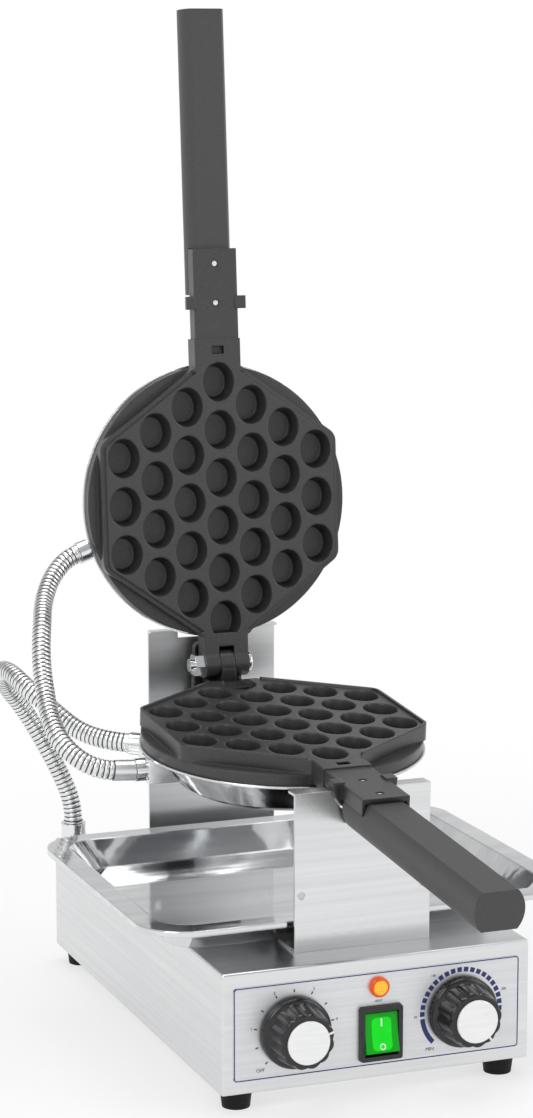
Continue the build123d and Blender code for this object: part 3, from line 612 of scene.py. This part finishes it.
def knob(name, node, centre, body, angle):
    """Control knob that replaces its plain solid, with its pointer at an angle in degrees."""
    points, faces = [], []
    for reach, radius, lobe in KNOB_RINGS:
        for k in range(KNOB_SIDES):
            turn = 2 * math.pi * k / KNOB_SIDES
            wave = abs(math.cos(KNOB_LOBES / 2 * (turn - math.radians(angle))))
            r = radius - lobe * (1 - wave)
            points.append((centre[0] + r * math.cos(turn), PANEL_Y - reach, centre[1] + r * math.sin(turn)))
    for ring in range(len(KNOB_RINGS) - 1):
        for k in range(KNOB_SIDES):
            a, b = ring * KNOB_SIDES + k, ring * KNOB_SIDES + (k + 1) % KNOB_SIDES
            faces.append((a, b, b + KNOB_SIDES, a + KNOB_SIDES))
    faces.append(tuple(range(KNOB_SIDES - 1, -1, -1)))
    last = (len(KNOB_RINGS) - 1) * KNOB_SIDES
    faces.append(tuple(range(last, last + KNOB_SIDES)))
    mesh = mesh_from(name, points, faces)
    smooth(mesh, 38)
    piece = add_piece(name, mesh, body, "gloss_knob")
    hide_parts(node)
    turn = math.radians(angle)
    along = Vector((math.cos(turn), 0, math.sin(turn)))
    side = Vector((-along.z, 0, along.x)) * POINTER_HALF
    middle = Vector((centre[0], PANEL_Y, centre[1]))
    line = ((12.4, 21.15), (14.5, 21.15), (15.7, 20.9), (16.3, 20.2), (16.7, 18.6), (16.9, 16.6))
    strip = []
    for radius, reach in line:
        base = middle + along * radius - Vector((0, reach, 0))
        strip += [base + side, base - side]
    inward = along * -0.5 + Vector((0, 0.4, 0))
    strip += [point + inward for point in strip]
    n = 2 * len(line)
    quads = [(2 * i, 2 * i + 1, 2 * i + 3, 2 * i + 2) for i in range(len(line) - 1)]
    quads += [tuple(n + v for v in reversed(q)) for q in quads]
    for i in range(len(line) - 1):
        quads.append((2 * i, 2 * i + 2, n + 2 * i + 2, n + 2 * i))
        quads.append((2 * i + 3, 2 * i + 1, n + 2 * i + 1, n + 2 * i + 3))
    quads += [(1, 0, n, n + 1), (n - 2, n - 1, 2 * n - 1, 2 * n - 2)]
    pointer = mesh_from(name + "_pointer", strip, quads)
    add_piece(name + "_pointer", pointer, body, "cap_foil", white_ink)


knob("timer_grip", "timer_knob", timer_centre, "timer", 15)
knob("thermostat_grip", "thermostat_knob", heat_centre, "thermostat", -52)

# Switch signs: a bar on the rocker's upper slope and a ring on its lower one.
ROCKER_PIVOT_Y = PANEL_Y + 6.0


def rocker_face(z):
    """Y of the rocker's front at a height."""
    up = z - SWITCH_Z
    return ROCKER_PIVOT_Y - 8.4 + (up * 1.2 / 11.8 if up > 0 else up * 2.8 / 10.6)


def on_rocker(name, outline, material, depth):
    """Thin plate that follows the rocker's slope."""
    mesh = prism(name, outline, 0, -depth)
    for vertex in mesh.vertices:
        vertex.co.y += rocker_face(vertex.co.z / MM) * MM
    add_piece(name, mesh, "rocker", "green_lens", material)


def ring_outline(centre, inner, outer):
    """Outline of a ring cut through at its left, so that it is one closed line."""
    return arc(centre, outer, -179.5, 179.5, 32) + arc(centre, inner, 179.5, -179.5, 32)


bar_x = MACHINE.x + SWITCH_X
bar = [(bar_x + a, SWITCH_Z + 6.4 + b) for a, b in ((0.4, -2.2), (0.4, 2.2), (-0.4, 2.2), (-0.4, -2.2))]
on_rocker("switch_on", bar, white_ink, 0.16)
on_rocker("switch_off", ring_outline((bar_x, SWITCH_Z - 7.2), 1.2, 1.8), white_ink, 0.16)
glow = rounded_box((bar_x, SWITCH_Z), 12.0, 18.5, 2.6)
seam = [(bar_x + 6.0, SWITCH_Z), (bar_x - 6.0, SWITCH_Z)]
upper_glow = [p for p in glow if p[1] > SWITCH_Z] + [seam[1], seam[0]]
lower_glow = [p for p in glow if p[1] < SWITCH_Z] + [seam[0], seam[1]]
on_rocker("switch_glow_upper", upper_glow, bright_green, 0.08)
on_rocker("switch_glow_lower", lower_glow, bright_green, 0.08)


# Hoses

HOSE_RADIUS = 5.75
RIB_PITCH = 2.9
SIDES = 24
GROOVE = 0.62


def curve_points(name, route, step=0.8):
    """Even points along a smooth curve that the route's corners draw."""
    curve = bpy.data.curves.new(name, "CURVE")
    curve.dimensions = "3D"
    line = curve.splines.new("NURBS")
    line.points.add(len(route) - 1)
    for point, place in zip(line.points, route):
        point.co = (*place, 1)
    line.order_u = 3
    line.use_endpoint_u = True
    line.resolution_u = 40
    drawn = bpy.data.objects.new(name, curve)
    bpy.context.scene.collection.objects.link(drawn)
    bpy.context.view_layer.update()
    mesh = bpy.data.meshes.new_from_object(drawn.evaluated_get(bpy.context.evaluated_depsgraph_get()))
    found = [v.co.copy() for v in mesh.vertices]
    bpy.data.objects.remove(drawn)
    bpy.data.curves.remove(curve)
    bpy.data.meshes.remove(mesh)
    lengths = [0.0]
    for a, b in zip(found, found[1:]):
        lengths.append(lengths[-1] + (b - a).length)
    count = max(2, round(lengths[-1] / step))
    even, at = [], 0
    for i in range(count + 1):
        target = lengths[-1] * i / count
        while at < len(found) - 2 and lengths[at + 1] < target:
            at += 1
        share = (target - lengths[at]) / max(lengths[at + 1] - lengths[at], 1e-9)
        even.append(found[at].lerp(found[at + 1], min(max(share, 0), 1)))
    return even, lengths[-1]


def point_along(path, length, distance):
    """Point and direction at a distance along an evenly spaced path."""
    share = min(max(distance / length, 0), 1) * (len(path) - 1)
    i = min(int(share), len(path) - 2)
    place = path[i].lerp(path[i + 1], share - i)
    ahead = path[min(i + 2, len(path) - 1)] - path[max(i - 1, 0)]
    return place, ahead.normalized()


def rib_profile(length, sleeves):
    """Distances, radii and groove marks down a strip-wound hose with a smooth sleeve at each end; the
    groove marks pick the faces with the painted groove shade.
    """
    first, last = sleeves
    proud = 0.5
    profile = [(0, HOSE_RADIUS, 0), (0.3, HOSE_RADIUS + proud, 0), (first, HOSE_RADIUS + proud, 0)]
    run = length - first - last
    ribs = int(run / RIB_PITCH)
    pitch = run / ribs
    for i in range(ribs):
        start = first + i * pitch
        profile.append((start + 0.05 * pitch, HOSE_RADIUS - GROOVE, 1))
        profile.append((start + 0.19 * pitch, HOSE_RADIUS - GROOVE, 1))
        profile.append((start + 0.25 * pitch, HOSE_RADIUS - 0.08, 0))
        profile.append((start + 0.45 * pitch, HOSE_RADIUS + 0.1, 0))
        profile.append((start + 0.80 * pitch, HOSE_RADIUS + 0.1, 0))
        profile.append((start + 0.98 * pitch, HOSE_RADIUS - 0.08, 0))
    profile.append((length - last, HOSE_RADIUS + proud, 0))
    profile += [(length - 0.3, HOSE_RADIUS + proud, 0), (length, HOSE_RADIUS, 0)]
    return profile


def hose(name, node, route, sleeves):
    """Armoured hose on a route in millimetres, running between two bodies."""
    path, length = curve_points(name + "_line", route)
    points, faces = [], []
    up = None
    rings = rib_profile(length, sleeves)
    for distance, radius, _ in rings:
        place, ahead = point_along(path, length, distance)
        if up is None:
            up = ahead.orthogonal().normalized()
        up = (up - ahead * up.dot(ahead)).normalized()
        side = ahead.cross(up)
        for k in range(SIDES):
            turn = 2 * math.pi * k / SIDES
            points.append(place + up * (radius * math.cos(turn)) + side * (radius * math.sin(turn)))
    for r in range(len(rings) - 1):
        for k in range(SIDES):
            a, b = r * SIDES + k, r * SIDES + (k + 1) % SIDES
            faces.append((a, b, b + SIDES, a + SIDES))
    faces.append(tuple(range(SIDES - 1, -1, -1)))
    last = (len(rings) - 1) * SIDES
    faces.append(tuple(range(last, last + SIDES)))
    mesh = mesh_from(name, points, faces)
    smooth(mesh, 50)
    piece = add_piece(name, mesh, None, "hose_steel")
    # The groove faces get the darker material: painted shade in the creases.
    mesh.materials.append(groove_shade_steel)
    for r in range(len(rings) - 1):
        if rings[r][2] or rings[r + 1][2]:
            for k in range(SIDES):
                mesh.polygons[r * SIDES + k].material_index = 1
    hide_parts(node)
    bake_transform(piece)
    print(name, "length", round(length, 1))
    return piece


def mould_point(*place):
    """Point measured from the middle of the mould."""
    return MOULD_CENTRE + Vector(place)


LINK_START = mould_point(-94.0, 1.84, -24.73)
LINK_END = mould_point(-89.4, 121.95, 86.0)
SUPPLY_START = mould_point(-78.84, 52.9, -20.9)
GLAND_EXIT = MACHINE + Vector((-84.5, 154.0, BASE_TOP + 12.0))
EXIT_RUN = 13.0
link_down = Vector((-0.951, -0.0245, -0.308))
supply_out = Vector((-0.8387, 0.5432, 0.0404))
link_route = [
    LINK_START,
    LINK_START + Vector((-EXIT_RUN, 0, 0)),
    mould_point(-123, 7, -20),
    mould_point(-133.5, 19, -9.5),
    mould_point(-135.5, 35, 2.5),
    mould_point(-133.5, 50, 14),
    mould_point(-132, 62, 27),
    mould_point(-129, 73, 40),
    mould_point(-124.5, 85, 51),
    mould_point(-119, 101, 60),
    mould_point(-111, 113, 71),
    mould_point(-103, 119.5, 78.5),
    LINK_END + link_down * EXIT_RUN / 2,
    LINK_END,
]
supply_route = [
    GLAND_EXIT,
    GLAND_EXIT + Vector((0, 0, EXIT_RUN)),
    mould_point(-93, 157, -60),
    mould_point(-102.5, 162, -40),
    mould_point(-113, 167.5, -20),
    mould_point(-127, 162, -2.5),
    mould_point(-135, 145, 11),
    mould_point(-135, 122, 15),
    mould_point(-129, 101, 7),
    mould_point(-116, 88, -6),
    mould_point(-104, 76, -17),
    SUPPLY_START + supply_out * EXIT_RUN,
    SUPPLY_START,
]
hose("link_armour", "link_hose", link_route, (12.5, 1.5))
hose("supply_armour", "supply_hose", supply_route, (1.5, 1.5))


# Studio: pale floor, white surround, soft lamps, camera

FLOOR_NEAR = 0.28
FLOOR_FAR = 0.9
FLOOR_LIFT = 0.62


def stage_material():
    """Pale floor that keeps the object's shadow and turns plain white further out."""
    made = bpy.data.materials.new("stage_white")
    made.use_nodes = True
    tree = made.node_tree
    shader = tree.nodes["Principled BSDF"]
    shader.inputs["Base Color"].default_value = (0.84, 0.84, 0.84, 1)
    shader.inputs["Roughness"].default_value = 0.9
    shader.inputs["Specular IOR Level"].default_value = 0.1
    coordinates = tree.nodes.new("ShaderNodeTexCoord")
    distance = tree.nodes.new("ShaderNodeVectorMath")
    distance.operation = "LENGTH"
    fade = tree.nodes.new("ShaderNodeMapRange")
    fade.interpolation_type = "SMOOTHSTEP"
    fade.inputs["From Min"].default_value = FLOOR_NEAR
    fade.inputs["From Max"].default_value = FLOOR_FAR
    fade.inputs["To Min"].default_value = FLOOR_LIFT
    fade.inputs["To Max"].default_value = 1.0
    rays = tree.nodes.new("ShaderNodeLightPath")
    seen = tree.nodes.new("ShaderNodeMath")
    seen.operation = "MAXIMUM"
    seen_too = tree.nodes.new("ShaderNodeMath")
    seen_too.operation = "MAXIMUM"
    share = tree.nodes.new("ShaderNodeMath")
    share.operation = "MULTIPLY"
    white = tree.nodes.new("ShaderNodeEmission")
    white.inputs["Color"].default_value = (1, 1, 1, 1)
    mix = tree.nodes.new("ShaderNodeMixShader")
    links = tree.links
    links.new(coordinates.outputs["Object"], distance.inputs[0])
    links.new(distance.outputs["Value"], fade.inputs["Value"])
    links.new(rays.outputs["Is Camera Ray"], seen.inputs[0])
    links.new(rays.outputs["Is Glossy Ray"], seen.inputs[1])
    links.new(seen.outputs["Value"], seen_too.inputs[0])
    links.new(rays.outputs["Is Transmission Ray"], seen_too.inputs[1])
    links.new(fade.outputs["Result"], share.inputs[0])
    links.new(seen_too.outputs["Value"], share.inputs[1])
    links.new(share.outputs["Value"], mix.inputs["Fac"])
    links.new(shader.outputs["BSDF"], mix.inputs[1])
    links.new(white.outputs["Emission"], mix.inputs[2])
    links.new(mix.outputs["Shader"], tree.nodes["Material Output"].inputs["Surface"])
    return made


def studio_floor():
    """Wide flat floor under the object."""
    reach, steps = 12.0, 24
    points = [
        (reach * math.cos(2 * math.pi * i / steps), reach * math.sin(2 * math.pi * i / steps), 0)
        for i in range(steps)
    ]
    mesh = bpy.data.meshes.new("studio_floor")
    mesh.from_pydata(points, [], [tuple(range(steps))])
    mesh.materials.append(stage_material())
    piece = bpy.data.objects.new("studio_floor", mesh)
    bpy.context.scene.collection.objects.link(piece)


studio_floor()


def softbox(name, place, aim, size, power):
    """Rectangular lamp that looks at a point."""
    light = bpy.data.lights.new(name, "AREA")
    light.shape = "RECTANGLE"
    light.size, light.size_y = size
    light.energy = power
    lamp = bpy.data.objects.new(name, light)
    bpy.context.scene.collection.objects.link(lamp)
    lamp.location = place
    lamp.rotation_mode = "QUATERNION"
    lamp.rotation_quaternion = (Vector(aim) - Vector(place)).to_track_quat("-Z", "Y")


# Places and sizes of the lamps are in metres and their power in watts.
AIM = (0, 0.05, 0.25)
softbox("key_left", (-1.7, -1.3, 1.9), AIM, (1.2, 1.6), 26)
softbox("fill_right", (1.8, -1.2, 1.2), AIM, (1.0, 1.6), 14)
softbox("top", (0.1, 0.5, 2.3), AIM, (1.6, 1.6), 22)


def studio_world():
    """Soft surround: white round the horizon and greyer overhead."""
    world = bpy.data.worlds.new("studio")
    bpy.context.scene.world = world
    world.use_nodes = True
    tree = world.node_tree
    coordinates = tree.nodes.new("ShaderNodeTexCoord")
    split = tree.nodes.new("ShaderNodeSeparateXYZ")
    ramp = tree.nodes.new("ShaderNodeValToRGB")
    ramp.color_ramp.elements[0].position = 0.12
    ramp.color_ramp.elements[0].color = (1, 1, 1, 1)
    ramp.color_ramp.elements[1].position = 0.8
    ramp.color_ramp.elements[1].color = (0.5, 0.5, 0.505, 1)
    middle = ramp.color_ramp.elements.new(0.42)
    middle.color = (0.4, 0.4, 0.405, 1)
    tree.links.new(coordinates.outputs["Generated"], split.inputs["Vector"])
    tree.links.new(split.outputs["Z"], ramp.inputs["Fac"])
    background = tree.nodes["Background"]
    tree.links.new(ramp.outputs["Color"], background.inputs["Color"])
    background.inputs["Strength"].default_value = 1.0


studio_world()

CAMERA_PLACE = MOULD_CENTRE + Vector((-641.4, -1634.2, 397.3))
CAMERA_LOOK = Vector((0.355, 0.9195, -0.1688))
FOCAL_LENGTH = 96.1
lens = bpy.data.cameras.new("camera")
lens.sensor_width = 36.0
lens.lens = FOCAL_LENGTH
lens.clip_start = 0.05
lens.clip_end = 30.0
camera = bpy.data.objects.new("camera", lens)
bpy.context.scene.collection.objects.link(camera)
camera.location = CAMERA_PLACE * MM
camera.rotation_mode = "QUATERNION"
camera.rotation_quaternion = CAMERA_LOOK.to_track_quat("-Z", "Y")
bpy.context.scene.camera = camera
bpy.context.scene.view_settings.view_transform = "Standard"
